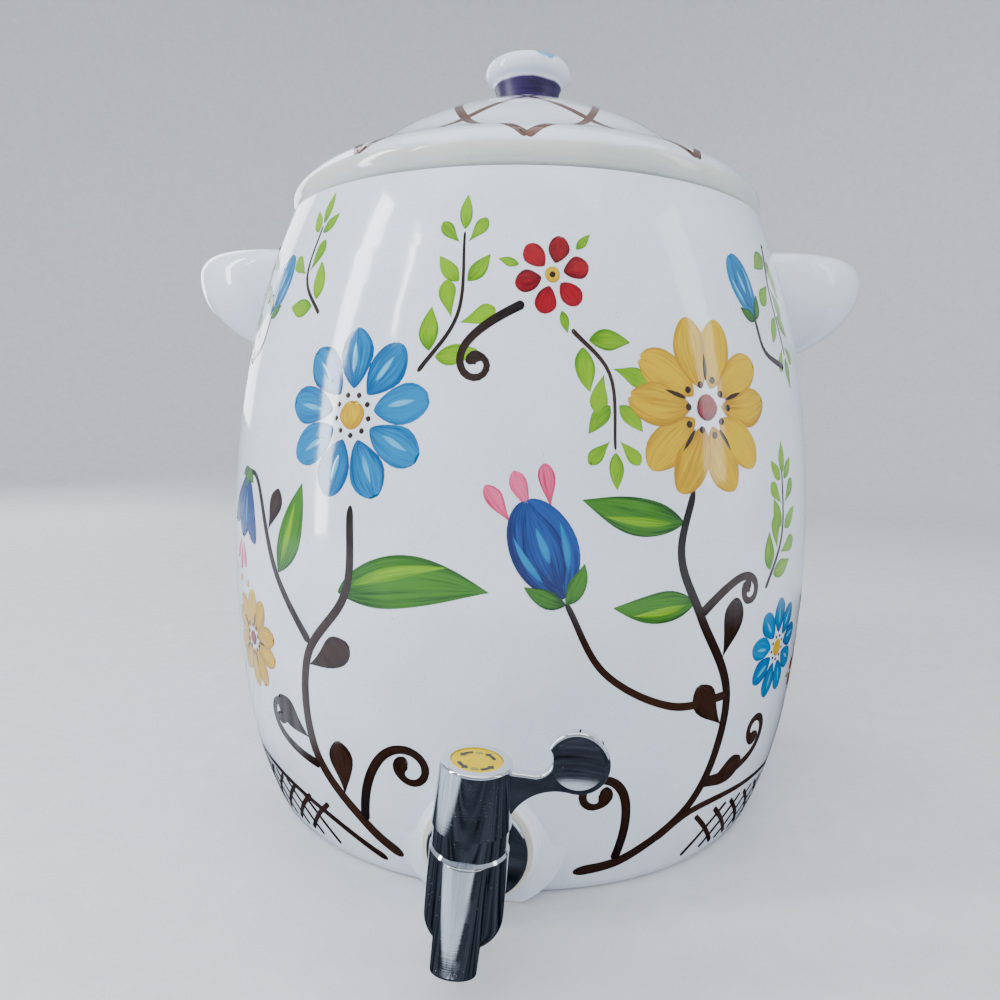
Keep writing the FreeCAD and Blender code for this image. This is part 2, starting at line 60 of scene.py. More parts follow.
def make_camera():
    data = bpy.data.cameras.new("photo_camera")
    data.lens = LENS
    data.sensor_width = 36.0
    data.clip_start = 0.01
    camera = bpy.data.objects.new("photo_camera", data)
    bpy.context.scene.collection.objects.link(camera)
    stand = Matrix.Rotation(ROUND_POT, 4, "Z") @ Matrix.Translation((0, -CAMERA_DISTANCE, CAMERA_HEIGHT))
    aim = Matrix.Rotation(TURN_LEFT, 4, "Z") @ Matrix.Rotation(math.pi / 2 - PITCH_DOWN, 4, "X")
    camera.matrix_world = stand @ aim @ Matrix.Rotation(ROLL, 4, "Z")
    bpy.context.scene.camera = camera
    return camera


camera = make_camera()
print("camera stands at", [round(value, 3) for value in camera.matrix_world.translation])

# %% [markdown]
# ## Helpers for meshes and nodes
# Every new piece starts as a bmesh, becomes an object at the origin, and rides on the CAD body that carries it.
# A material is put together from small functions. Each adds a node or two and hands on the output.

# %% Mesh helpers


def object_from(bm, name, material):
    """Turns a bmesh into an object at the origin."""
    mesh = bpy.data.meshes.new(name)
    bm.to_mesh(mesh)
    bm.free()
    mesh.shade_smooth()
    mesh.materials.append(material)
    made = bpy.data.objects.new(name, mesh)
    bpy.context.scene.collection.objects.link(made)
    print(name, "has", len(mesh.polygons), "faces")
    return made


# %% Node helpers


def feed(tree, socket, value):
    """Gives a socket the output of another node, or a number or colour of its own."""
    if isinstance(value, bpy.types.NodeSocket):
        tree.links.new(value, socket)
    elif socket.type == "RGBA":
        socket.default_value = (*value, 1)
    else:
        socket.default_value = value


def add_node(tree, kind, **values):
    """A shader node with its own settings and its sockets filled in by name."""
    made = tree.nodes.new(kind)
    for key, value in values.items():
        name = key.replace("_", " ")
        if hasattr(made, key):
            setattr(made, key, value)
        elif name in made.inputs:
            feed(tree, made.inputs[name], value)
        else:
            raise KeyError(kind + " has no " + key)
    return made


def new_group(name, inputs, outputs):
    """A shader node group with named inputs, as (name, kind, default), and named outputs, as (name, kind)."""
    tree = bpy.data.node_groups.new(name, "ShaderNodeTree")
    for socket, kind, default in inputs:
        made = tree.interface.new_socket(socket, in_out="INPUT", socket_type="NodeSocket" + kind)
        made.default_value = default
    for socket, kind in outputs:
        tree.interface.new_socket(socket, in_out="OUTPUT", socket_type="NodeSocket" + kind)
    return tree, tree.nodes.new("NodeGroupInput").outputs, tree.nodes.new("NodeGroupOutput").inputs


def new_material(name):
    material = bpy.data.materials.new(name)
    material.use_nodes = True
    tree = material.node_tree
    return material, tree, tree.nodes["Principled BSDF"]


def set_shader(tree, shader, **values):
    """Feeds the shader's sockets by name."""
    for key, value in values.items():
        feed(tree, shader.inputs[key.replace("_", " ")], value)


# %% Values and colours from nodes


def object_place(tree):
    """Each point's place on its own object, in metres."""
    return add_node(tree, "ShaderNodeTexCoord").outputs["Object"]


def noise(tree, place, scale, detail, stretch=None):
    """The value of a noise at a place, which is first scaled along each axis if the noise has a grain."""
    if stretch:
        place = add_node(tree, "ShaderNodeMapping", Vector=place, Scale=stretch).outputs["Vector"]
    return add_node(tree, "ShaderNodeTexNoise", Vector=place, Scale=scale, Detail=detail).outputs["Fac"]


def calculate(tree, operation, *values, clamp=False):
    """The result of a Math node on numbers and the outputs of nodes."""
    made = add_node(tree, "ShaderNodeMath", operation=operation, use_clamp=clamp)
    for socket, value in zip(made.inputs, values):
        feed(tree, socket, value)
    return made.outputs[0]


def remap(tree, value, first, last, low=0.0, high=1.0, smooth=True):
    """A value moved from one range to another and kept inside it, eased at both ends if it is smooth."""
    return add_node(tree, "ShaderNodeMapRange", interpolation_type="SMOOTHSTEP" if smooth else "LINEAR", Value=value,
                    From_Min=first, From_Max=last, To_Min=low, To_Max=high).outputs["Result"]


def ramp(tree, value, stops):
    """The colour at a value, from (place, grey or colour) stops."""
    made = add_node(tree, "ShaderNodeValToRGB", Fac=value)
    elements = made.color_ramp.elements
    while len(elements) < len(stops):
        elements.new(0.5)
    for element, (place, colour) in zip(elements, stops):
        element.position = place
        element.color = (*colour, 1) if isinstance(colour, tuple) else (colour, colour, colour, 1)
    return made.outputs["Color"]


def blend(tree, mask, under, over, how="MIX"):
    """One colour laid over another by a mask."""
    return add_node(tree, "ShaderNodeMix", data_type="RGBA", blend_type=how, Factor=mask, A=under,
                    B=over).outputs["Result"]


def bump(tree, height, strength, distance):
    """Normals that follow a height over the surface."""
    return add_node(tree, "ShaderNodeBump", Height=height, Strength=strength, Distance=distance).outputs["Normal"]


def dress(name, material):
    """Gives a CAD piece its finish."""
    nodes[name].data.materials.clear()
    nodes[name].data.materials.append(material)
    print(name, "is finished in", material.name)


# %% [markdown]
# ## Floor and light
# A plain pale floor curves up into a wall all round, like a studio's bowl, so no horizon shows from any side.
# White glaze and chrome on a white floor would melt into it. A photographer lays black cards just out of view
# to give them edges. Here the floor's own material paints that reflection instead: rays that come off a shiny
# surface find a painted dark table there, and a painted lit floor beyond the table's edge.
#
# The outline of the bowl is one vertex, drawn out along the floor, spun into a quarter circle and raised, and
# then the whole line is spun about the pot's axis.

# %% Floor
BOWL_FLAT = 1.4
BOWL_BEND = 0.8
BOWL_HEIGHT = 2.0
PAPER = [(0.3, (0.66, 0.67, 0.69)), (0.7, (0.70, 0.71, 0.73))]
# The floor's painted reflection: a dark table out to these reaches, lit boards beyond it and on the left, and a grey
# wall above, all seen only in glossy rays.
TABLE_REACH, TABLE_FADE = 0.50, 0.18
TABLE_LEFT, TABLE_LEFT_FADE = -0.15, -0.04
PAINTED_TABLE_REFLECTION = [(0.35, (0.003, 0.004, 0.007)), (0.70, (0.045, 0.05, 0.065))]
BOARD_GRAIN = (5, 70, 1)
PAINTED_LIT_BOARDS_REFLECTION = [(0.35, (0.27, 0.31, 0.37)), (0.65, (0.62, 0.67, 0.74))]
PAINTED_WALL_REFLECTION = (0.36, 0.38, 0.42)


def make_floor_with_painted_reflection():
    """Pale paper, which paints a reflection: in glossy rays it shows a dark table, with a lit floor beyond its edge
    and on the left.
    """
    material, tree, shader = new_material("pale_floor_painted_reflection")
    place = object_place(tree)
    parts = add_node(tree, "ShaderNodeSeparateXYZ", Vector=place).outputs
    reach = add_node(tree, "ShaderNodeVectorMath", operation="LENGTH", Vector=place).outputs["Value"]
    paper = ramp(tree, noise(tree, place, 60.0, 3.0), PAPER)
    boards = noise(tree, place, 1.0, 3.0, BOARD_GRAIN)
    upward = ramp(tree, remap(tree, parts["Z"], 0.0, BOWL_HEIGHT, smooth=False), [(0.01, 0.0), (0.10, 1.0)])
    # painted reflection of a dark table, and of a grey wall up the bowl
    room = blend(tree, upward, ramp(tree, boards, PAINTED_TABLE_REFLECTION), PAINTED_WALL_REFLECTION)
    left = remap(tree, parts["X"], TABLE_LEFT, TABLE_LEFT + TABLE_LEFT_FADE)
    beyond = remap(tree, reach, TABLE_REACH, TABLE_REACH + TABLE_FADE)
    # painted reflection of lit floor boards beyond the table's edge and on the left
    mirrored = blend(tree, calculate(tree, "MAXIMUM", left, beyond), room, ramp(tree, boards, PAINTED_LIT_BOARDS_REFLECTION))
    reflected = add_node(tree, "ShaderNodeLightPath").outputs["Is Glossy Ray"]
    seen = blend(tree, reflected, paper, mirrored)
    set_shader(tree, shader, Base_Color=seen, Roughness=0.6, Specular_IOR_Level=0.0)
    return material


def make_floor():
    bm = bmesh.new()
    centre = bm.verts.new((0, 0, 0))
    edge = bmesh.ops.extrude_vert_indiv(bm, verts=[centre])["verts"][0]
    edge.co.x = BOWL_FLAT
    bend = bmesh.ops.spin(bm, geom=[edge], cent=(BOWL_FLAT, 0, BOWL_BEND), axis=(0, -1, 0), angle=math.pi / 2,
                          steps=12, use_merge=False)
    top = [part for part in bend["geom_last"] if isinstance(part, bmesh.types.BMVert)][0]
    wall = bmesh.ops.extrude_vert_indiv(bm, verts=[top])["verts"][0]
    wall.co.z = BOWL_HEIGHT
    bmesh.ops.spin(bm, geom=bm.verts[:] + bm.edges[:], cent=(0, 0, 0), axis=(0, 0, 1), angle=math.tau,
                   steps=96, use_merge=True)
    bmesh.ops.remove_doubles(bm, verts=bm.verts, dist=1e-5)
    bmesh.ops.recalc_face_normals(bm, faces=bm.faces)
    if bm.faces[0].normal.z < 0:
        bmesh.ops.reverse_faces(bm, faces=bm.faces)
    return object_from(bm, "studio_floor", make_floor_with_painted_reflection())


floor = make_floor()

# %% [markdown]
# Glaze and chrome show their surroundings more than their own colour. A tall soft window on the left gives the
# long vertical highlight on the belly, others edge it on both sides, and a wide one above lights the lid. The
# room's own light comes from behind the camera and from the right, and both are kept out of the reflections.

# %% Lights


def soft_light(name, place, target, width, height, power, colour=(1, 1, 1)):
    data = bpy.data.lights.new(name, "AREA")
    data.shape = "RECTANGLE"
    data.size = width
    data.size_y = height
    data.energy = power
    data.color = colour
    light = bpy.data.objects.new(name, data)
    light.location = place
    light.rotation_mode = "QUATERNION"
    light.rotation_quaternion = (Vector(target) - Vector(place)).to_track_quat("-Z", "Y")
    bpy.context.scene.collection.objects.link(light)
    return light


soft_light("window_left", (-1.12, -0.47, 0.62), (0, 0, 0.2), 0.16, 1.3, 13, (0.94, 0.97, 1.0))
soft_light("window_narrow", (-0.95, -0.94, 1.12), (0, 0, 0.26), 0.05, 0.55, 2.5, (0.94, 0.97, 1.0))
soft_light("window_behind", (-1.0, 0.85, 0.80), (0, 0, 0.25), 0.5, 1.2, 7, (0.96, 0.98, 1.0))
soft_light("fill_right", (1.25, -0.30, 0.75), (0, 0, 0.2), 0.25, 1.1, 2.5)
soft_light("room", (-0.3, -1.5, 1.5), (0, 0, 0.15), 1.6, 1.0, 17, (0.92, 0.96, 1.0)).visible_glossy = False
soft_light("room_right", (1.3, -0.8, 0.9), (0, 0, 0.2), 0.8, 0.8, 7, (0.94, 0.97, 1.0)).visible_glossy = False
soft_light("ceiling", (0, -0.1, 1.7), (0, 0, 0.2), 1.6, 1.6, 13)
world = bpy.data.worlds.new("studio_air")
world.use_nodes = True
world.node_tree.nodes["Background"].inputs["Color"].default_value = (0.90, 0.93, 1.0, 1)
world.node_tree.nodes["Background"].inputs["Strength"].default_value = 0.62
bpy.context.scene.world = world

# %% [markdown]
# ## Glaze
# A white tin glaze lies over the clay like thick cream: it is never quite even, so reflections swim a little,
# and the white is mottled and has a few specks of iron. These three effects are one node group, because the
# wall, the lid, the lugs and the painted marks under the same glaze all use it.

# %% The shared glaze effect
CLOUD_TINTS = [(0.35, (0.80, 0.84, 0.88)), (0.65, (1.0, 1.0, 1.0))]
IRON_SPECK = (0.42, 0.33, 0.25)


def make_glaze_group():
    tree, given, result = new_group(
        "poured_glaze",
        [("Colour", "Color", (0.8, 0.8, 0.8, 1)), ("Mottle", "Float", 0.05), ("Specks", "Float", 0.5),
         ("Waves", "Float", 0.1)],
        [("Colour", "Color"), ("Roughness", "Float"), ("Normal", "Vector")])
    place = object_place(tree)
    clouds = noise(tree, place, 22.0, 4.0)
    mottled = blend(tree, given["Mottle"], given["Colour"], ramp(tree, clouds, CLOUD_TINTS), "MULTIPLY")
    spots = ramp(tree, noise(tree, place, 620.0, 1.0), [(0.76, 0.0), (0.80, 1.0)])
    specks = calculate(tree, "MULTIPLY", spots, given["Specks"])
    feed(tree, result["Colour"], blend(tree, specks, mottled, IRON_SPECK))
    feed(tree, result["Roughness"], remap(tree, clouds, 0.0, 1.0, 0.05, 0.14, smooth=False))
    waves, ripple = noise(tree, place, 26.0, 1.0), noise(tree, place, 140.0, 2.0)
    height = calculate(tree, "MULTIPLY_ADD", ripple, 0.12, waves)
    feed(tree, result["Normal"], bump(tree, height, given["Waves"], 0.004))
    return tree


glaze_group = make_glaze_group()
print("glaze group made:", glaze_group.name)

# %% Glazed clay materials
WHITE_GLAZE = (0.80, 0.86, 0.94)
CREAM_GLAZE = (0.66, 0.69, 0.62)
BARE_CLAY = (0.66, 0.56, 0.44)
FOOT_TOP = 0.0006
LID_EDGE_TOP = 0.3305


def glaze_onto(tree, shader, colour, mottle=0.5, specks=0.5, waves=0.12, coat=0.25):
    """Covers a colour with the poured glaze for the shader, and returns the glaze's node."""
    glaze = add_node(tree, "ShaderNodeGroup", node_tree=glaze_group, Colour=colour, Mottle=mottle, Specks=specks,
                     Waves=waves)
    set_shader(tree, shader, Base_Color=glaze.outputs["Colour"], Roughness=glaze.outputs["Roughness"],
               Normal=glaze.outputs["Normal"], IOR=1.55, Coat_Weight=coat, Coat_Roughness=0.03)
    return glaze


def height_mask(tree, low, high, soft, ragged):
    """1 between two heights of the pot and 0 elsewhere, with edges as uneven as a brushed band's."""
    place = object_place(tree)
    height = add_node(tree, "ShaderNodeSeparateXYZ", Vector=place).outputs["Z"]
    uneven = calculate(tree, "MULTIPLY_ADD", noise(tree, place, 90.0, 2.0), ragged, height)
    low, high = low + ragged / 2, high + ragged / 2
    rise = remap(tree, uneven, low - soft, low + soft)
    fall = remap(tree, uneven, high + soft, high - soft)
    return calculate(tree, "MULTIPLY", rise, fall)


def make_pot_glaze():
    """White glaze, wiped off the foot."""
    material, tree, shader = new_material("white_glaze")
    foot = height_mask(tree, -0.01, FOOT_TOP, 0.0003, 0.0004)
    glaze_onto(tree, shader, blend(tree, foot, WHITE_GLAZE, BARE_CLAY))
    return material


def make_lid_glaze():
    """White glaze that turns cream where it runs thin, round the lid's edge."""
    material, tree, shader = new_material("cream_glaze")
    edge = height_mask(tree, 0.30, LID_EDGE_TOP, 0.0022, 0.003)
    glaze_onto(tree, shader, blend(tree, edge, WHITE_GLAZE, CREAM_GLAZE), mottle=0.7)
    return material


pot_glaze = make_pot_glaze()
for name in ("crock_body", "tap_boss", "left_lug", "right_lug"):
    dress(name, pot_glaze)
dress("lid", make_lid_glaze())

# %% [markdown]
# The knob carries a plain purple band round its neck, brushed on while the knob turned, and one blot of sky
# blue on its top. Both follow the knob's own height and place, so they are masks in its material.

# %% Knob glaze
KNOB_BAND = (0.3925, 0.4022)
KNOB_PURPLE = [(0.35, (0.006, 0.001, 0.025)), (0.65, (0.03, 0.008, 0.10))]
KNOB_BLOT = (0.0095, -0.0155, 0.4150)
BLOT_RADIUS = 0.0105
BLOT_BLUE = (0.04, 0.34, 0.60)


def make_knob_glaze():
    """White glaze with the purple band, which is duller than the glaze, and the blue blot."""
    material, tree, shader = new_material("knob_glaze")
    place = object_place(tree)
    band = height_mask(tree, *KNOB_BAND, 0.0006, 0.0016)
    purple = ramp(tree, noise(tree, place, 1.0, 3.0, (60, 60, 900)), KNOB_PURPLE)
    banded = blend(tree, band, WHITE_GLAZE, purple)
    distance = add_node(tree, "ShaderNodeVectorMath", operation="DISTANCE", Vector=place)
    distance.inputs[1].default_value = KNOB_BLOT
    uneven = calculate(tree, "MULTIPLY_ADD", noise(tree, place, 160.0, 2.0), 0.006, distance.outputs["Value"])
    blot = remap(tree, uneven, BLOT_RADIUS, BLOT_RADIUS - 0.0015)
    glaze = glaze_onto(tree, shader, blend(tree, blot, banded, BLOT_BLUE), waves=0.04, coat=0.0)
    set_shader(tree, shader, Roughness=calculate(tree, "MULTIPLY_ADD", band, 0.32, glaze.outputs["Roughness"]))
    return material


dress("lid_knob", make_knob_glaze())

# %% [markdown]
# ## Painting on clay
# Each mark of the painting is one loaded brush stroke: it starts thin, swells, and ends in a point or a round
# tip, and its colour is streaked along the way the hair went. So each stroke is its own thin piece of mesh: a
# grid, bent along a spine and squeezed by a width, and then laid on the pot. Its UV map runs along and across
# the stroke, which lets the material draw the streaks.
#
# The wall's outline is a chain of tangent arcs, the same that the clay was modelled with, so a stroke finds the
# exact radius and slope at its height, and its gloss runs on from the glaze around it.

# %% Outlines of the wall and the lid, as (radius, height) in millimetres
BELLY = (165.3, 140.0)
WALL_ABOVE = [(157.2, 235.0), (145.1, 285.0), (133.6, 317.0)]
WALL_BELOW = [(159.9, 60.0), (149.9, 18.0), (144.6, 4.0)]
LID_TOP = (17.2, 391.5)
LID_HEADING = -17.0
LID_OUTLINE = [(70.0, 369.8), (92.0, 355.0), (116.0, 342.0), (130.59, 331.51)]
UNROLL_RADIUS = 160.0


def tangent_arcs(start, heading, ends):
    """Arcs that follow one another smoothly, each as (start, end, centre, radius), left turns positive."""
    arcs, here, heading = [], Vector(start), math.radians(heading)
    for end in ends:
        chord = Vector(end) - here
        half_turn = math.atan2(chord.y, chord.x) - heading
        radius = chord.length / (2 * math.sin(half_turn))
        centre = here + Vector((-math.sin(heading), math.cos(heading))) * radius
        arcs.append((here, Vector(end), centre, radius))
        heading += 2 * half_turn
        here = Vector(end)
    return arcs


upper_wall = tangent_arcs(BELLY, 90, WALL_ABOVE)
lower_wall = tangent_arcs(BELLY, -90, WALL_BELOW)
lid_outline = tangent_arcs(LID_TOP, LID_HEADING, LID_OUTLINE)
print("wall radii:", [round(arc[3]) for arc in upper_wall + lower_wall])
print("lid radii:", [round(arc[3]) for arc in lid_outline])

# %% Laying flat marks on the clay


def onto_wall(flat, lift):
    """A place on the wall from (millimetres round from the tap, height), lifted off the glaze."""
    arcs = upper_wall if flat.y >= BELLY[1] else lower_wall
    arc = next((arc for arc in arcs if abs(flat.y - arc[0].y) <= abs(arc[1].y - arc[0].y)), arcs[-1])
    centre, radius = arc[2], abs(arc[3])
    slope = (flat.y - centre.y) / radius
    outward = math.sqrt(1 - slope * slope)
    turn = flat.x / UNROLL_RADIUS
    reach = centre.x + (radius + lift) * outward
    height = centre.y + (radius + lift) * slope
    return Vector((reach * math.sin(turn), -reach * math.cos(turn), height)) / 1000


def onto_lid(flat, lift):
    """A place on the lid from its place as seen from above, in millimetres."""
    reach = flat.length
    arc = next((arc for arc in lid_outline if reach <= arc[1].x), lid_outline[-1])
    centre, radius = arc[2], abs(arc[3])
    dome = 1 if arc[3] < 0 else -1
    across = (reach - centre.x) / radius
    upward = math.sqrt(1 - across * across)
    out = centre.x + across * (radius + dome * lift)
    height = centre.y + dome * upward * (radius + dome * lift)
    direction = flat / reach
    return Vector((direction.x * out, direction.y * out, height)) / 1000


print("the wall at 200 mm:", [round(value, 4) for value in onto_wall(Vector((0, 200)), 0)])

# %% [markdown]
# A spine is a line of places. Long stems are smooth curves through a few places, and tendrils curl up more and
# more tightly, as a wrist turns, so they are drawn by walking forward while the bend grows.

# %% Spines for strokes


def through(*places):
    """A smooth curve through places, as many close points."""
    line = [Vector(place) for place in places]
    line = [2 * line[0] - line[1]] + line + [2 * line[-1] - line[-2]]
    curve = []
    for before, start, end, after in zip(line, line[1:], line[2:], line[3:]):
        for step in range(12):
            t = step / 12
            curve.append(0.5 * (2 * start + (end - before) * t + (2 * before - 5 * start + 4 * end - after) * t ** 2
                                + (3 * start - before - 3 * end + after) * t ** 3))
    return curve + [line[-2]]


def walk(start, heading, *runs):
    """A curve from a start and a heading in degrees, by runs of (length, bend at its start, bend at its end), with
    bends in degrees a millimetre, left turns positive."""
    curve, angle = [Vector(start)], math.radians(heading)
    for length, first, last in runs:
        steps = max(8, int(length / 1.5))
        for step in range(steps):
            bend = math.radians(first + (last - first) * (step + 0.5) / steps) * length / steps
            angle += bend / 2
            curve.append(curve[-1] + Vector((math.cos(angle), math.sin(angle))) * length / steps)
            angle += bend / 2
    return curve


def along(curve, share):
    """The place and heading in degrees at a share of a curve's length."""
    lengths = [(end - start).length for start, end in zip(curve, curve[1:])]
    goal = share * sum(lengths)
    for start, end, length in zip(curve, curve[1:], lengths):
        if goal <= length:
            break
        goal -= length
    place = start.lerp(end, min(goal / length, 1))
    way = end - start
    return place, math.degrees(math.atan2(way.y, way.x))


# %% Widths of strokes


def leaf_width(t):
    """Pointed at both ends, fullest before the middle."""
    return math.sin(math.pi * t ** 0.8)


def drop_width(t):
    """A teardrop that ends full and round."""
    return math.sin(math.pi * t ** 1.9) ** 0.7 if 0 < t < 1 else 0


def petal_width(t):
    """Narrow where the petal joins, broad and blunt at its end."""
    return math.sin(math.pi * t ** 1.25) ** 0.55 if 0 < t < 1 else 0


def bean_width(t):
    return math.sin(math.pi * t) ** 0.5 if 0 < t < 1 else 0


def stem_width(t):
    """A drawn line, thinner towards its start, with round ends."""
    ends = min(1, t / 0.03, (1 - t) / 0.03)
    return math.sqrt(max(0, 1 - (1 - ends) ** 2)) * (0.55 + 0.45 * t)


def curl_width(t):
    """Thick at its root, thinner as it curls, with a round drop of paint where the brush lifts."""
    line = min(1, math.sqrt(t / 0.02)) * (1 - 0.36 * t)
    swell = min(1, max(0, (t - 0.87) / 0.08))
    swollen = line + (1.4 - line) * swell * swell * (3 - 2 * swell)
    return swollen * (math.sqrt(max(0, 1 - ((t - 0.955) / 0.045) ** 2)) if t > 0.955 else 1)


def even_width(t):
    ends = min(1, t / 0.02, (1 - t) / 0.02)
    return math.sqrt(max(0, 1 - (1 - ends) ** 2))


# %% One brush stroke
EDGE_RISE = 0.03
CROWN_RISE = 0.025
LAYER_RISE = 0.035
GOLDEN_SHARE = 0.618034
strokes_made = 0


def brush(bm, curve, width, shape, lay=onto_wall, layer=0, rows=18, columns=4, wobble=0.05):
    """One closed-edged stroke of paint: a grid laid along a curve, its width in millimetres."""
    global strokes_made
    strokes_made += 1
    tone_layer = bm.faces.layers.float.get("tone") or bm.faces.layers.float.new("tone")
    if not bm.loops.layers.uv:
        bm.loops.layers.uv.new("UVMap")
    grid = bmesh.ops.create_grid(bm, x_segments=rows, y_segments=columns, size=0.5, calc_uvs=True)["verts"]
    for face in {face for vertex in grid for face in vertex.link_faces}:
        face[tone_layer] = strokes_made * GOLDEN_SHARE % 1
    for vertex in grid:
        t = (1 - math.cos(math.pi * (vertex.co.x + 0.5))) / 2
        side = vertex.co.y * 2
        place, heading = along(curve, t)
        turn = math.radians(heading)
        hand = 1 + wobble * math.sin(7 * t + strokes_made * 2.4 + side)
        offset = side * width / 2 * shape(t) * hand
        flat = place + Vector((-math.sin(turn), math.cos(turn))) * offset
        crown = (1 - side * side) * min(1, 4 * shape(t))
        vertex.co = lay(flat, EDGE_RISE + CROWN_RISE * crown + LAYER_RISE * layer)


# %% [markdown]
# ### Colours of the paint
# Painted pots like this use a small box of colours, each thinned until the brush's streaks show. One node group
# turns the UV map and a tone of each stroke's own into a mask of streaks, with darker edges where paint pools.

# %% Paint materials


def make_streak_group():
    tree, given, result = new_group(
        "brush_streaks", [("Dark", "Color", (0, 0, 0, 1)), ("Light", "Color", (1, 1, 1, 1))], [("Colour", "Color")])
    uv = add_node(tree, "ShaderNodeUVMap", uv_map="UVMap").outputs["UV"]
    parts = add_node(tree, "ShaderNodeSeparateXYZ", Vector=uv).outputs
    tone = add_node(tree, "ShaderNodeAttribute", attribute_name="tone").outputs["Fac"]
    hairs = add_node(tree, "ShaderNodeMapping", Vector=uv, Scale=(1.3, 7.0, 1.0)).outputs["Vector"]
    own_part = add_node(tree, "ShaderNodeCombineXYZ", Z=calculate(tree, "MULTIPLY", tone, 40.0)).outputs["Vector"]
    moved = add_node(tree, "ShaderNodeVectorMath", operation="ADD", Vector=hairs)
    feed(tree, moved.inputs[1], own_part)
    streaks = noise(tree, moved.outputs["Vector"], 2.2, 5.0)
    pooled = remap(tree, calculate(tree, "PINGPONG", parts["Y"], 0.5), 0.0, 0.22, -0.20, 0.0)
    thinner = remap(tree, parts["X"], 0.0, 0.5, -0.18, 0.08)
    level = calculate(tree, "MULTIPLY_ADD", tone, 0.22, calculate(tree, "ADD", pooled, thinner))
    light = remap(tree, calculate(tree, "ADD", level, streaks), 0.32, 0.82)
    feed(tree, result["Colour"], blend(tree, light, given["Dark"], given["Light"]))
    return tree


streak_group = make_streak_group()
PAINTS = {
    "sky": ((0.0, 0.065, 0.23), (0.0, 0.20, 0.46)),
    "cobalt": ((0.002, 0.006, 0.08), (0.006, 0.06, 0.28)),
    "ice": ((0.01, 0.27, 0.53), (0.13, 0.47, 0.70)),
    "yellow": ((0.40, 0.19, 0.0), (0.66, 0.42, 0.0)),
    "lime": ((0.05, 0.20, 0.0), (0.21, 0.44, 0.0)),
    "green": ((0.003, 0.045, 0.003), (0.050, 0.20, 0.008)),
    "brown": ((0.004, 0.002, 0.0015), (0.035, 0.013, 0.006)),
    "russet": ((0.02, 0.006, 0.003), (0.12, 0.04, 0.018)),
    "crimson": ((0.08, 0.0, 0.003), (0.32, 0.002, 0.010)),
    "pink": ((0.50, 0.015, 0.09), (0.80, 0.12, 0.26)),
}


def make_paint(name, dark, light):
    """Streaked paint under the glaze."""
    material, tree, shader = new_material("paint_" + name)
    streaks = add_node(tree, "ShaderNodeGroup", node_tree=streak_group, Dark=dark, Light=light)
    glaze_onto(tree, shader, streaks.outputs["Colour"], mottle=0.15, specks=0.0)
    return material


paints = {name: make_paint(name, *colours) for name, colours in PAINTS.items()}
# The lid's russet lines are seen at a flat angle, where a full gloss would hide their colour.
paints["russet"].node_tree.nodes["Principled BSDF"].inputs["IOR"].default_value = 1.25
wall_paint = {name: bmesh.new() for name in PAINTS if name != "russet"}
print("paints:", ", ".join(paints))

# %% [markdown]
# ### The motifs
# The painting is a garland of plain folk flowers: daisies, five-petalled blooms, bellflowers and buds on
# scrolling brown stems. Every motif is a small function of a place and a direction, so it can be set anywhere
# on the pot. Petals are laid from the middle outwards, as a painter pulls the brush.

# %% Dots, leaves and sprigs
SPIRAL_TURN = 410


def polar(centre, heading, reach):
    turn = math.radians(heading)
    return Vector(centre) + Vector((math.cos(turn), math.sin(turn))) * reach


def dot(colour, centre, size, layer=1):
    start = polar(centre, 90, -size / 2)
    brush(wall_paint[colour], walk(start, 90, (size, 0, 0)), size, bean_width, layer=layer, rows=8, columns=4)


def leaf(colour, place, heading, length, width, bend=0.0, shape=leaf_width, layer=0):
    brush(wall_paint[colour], walk(place, heading, (length, bend, bend)), width, shape, layer=layer,
          rows=max(12, int(length / 2)), columns=max(4, 2 * int(width / 5)))


def stem(curve, width, colour="brown", layer=1, shape=stem_width):
    """A drawn line that starts thin and ends thick."""
    length = sum((end - start).length for start, end in zip(curve, curve[1:]))
    brush(wall_paint[colour], curve, width, shape, layer=layer, rows=max(16, int(length / 2.2)), columns=3,
          wobble=0.06)


def long_leaf(place, heading, length, width, bend):
    """A green leaf with a paler brush mark along its upper side."""
    leaf("green", place, heading, length, width, bend)
    inner = polar(place, heading + 6, length * 0.12)
    leaf("lime", inner, heading + 4, length * 0.66, width * 0.26, bend, layer=1)


def sprig(curve, pairs, length, width, spread=48, colour="lime", line=2.0):
    """Leaflets in pairs along a thin stem, smaller towards its tip, with one at the tip."""
    stem(list(reversed(curve)), line)
    for pair in range(pairs):
        share = 0.12 + 0.78 * pair / max(1, pairs - 1)
        size = 1 - 0.35 * share
        place, heading = along(curve, share)
        for side in (-1, 1):
            foot = polar(place, heading + side * spread, 2.6)
            leaf(colour, foot, heading + side * spread, length * size, width * size, -side * 0.9,
                 drop_width if pair % 2 else leaf_width)
    place, heading = along(curve, 1)
    leaf(colour, polar(place, heading, 1), heading, length * 0.8, width * 0.7)


def tendril(place, heading, reach, width, turn):
    """A stem that ends in a spiral of SPIRAL_TURN degrees, turning left if turn is 1 and right if it is -1."""
    tightest = 2 * SPIRAL_TURN / (0.65 * reach) - 1.2
    curve = walk(place, heading, (reach * 0.35, 0.2 * turn, 1.2 * turn), (reach * 0.65, 1.2 * turn, tightest * turn))
    brush(wall_paint["brown"], curve, width, curl_width, layer=1, rows=max(24, int(reach / 1.6)), columns=3,
          wobble=0.04)


# %% Flowers


def daisy(centre, reach, count=9, first=90):
    for petal in range(count):
        heading = first + 360 * petal / count
        start = polar(centre, heading, reach * 0.30)
        leaf("sky", start, heading, reach * 0.70, reach * 0.46, 0.25, petal_width, layer=1)
        leaf("ice", polar(centre, heading + 3, reach * 0.48), heading, reach * 0.36, reach * 0.07, 0.25, layer=2)
    dot("yellow", centre, reach * 0.34)
    for mark in range(count):
        dot("brown", polar(centre, first + 20 + 360 * mark / count, reach * 0.235), reach * 0.065, layer=2)


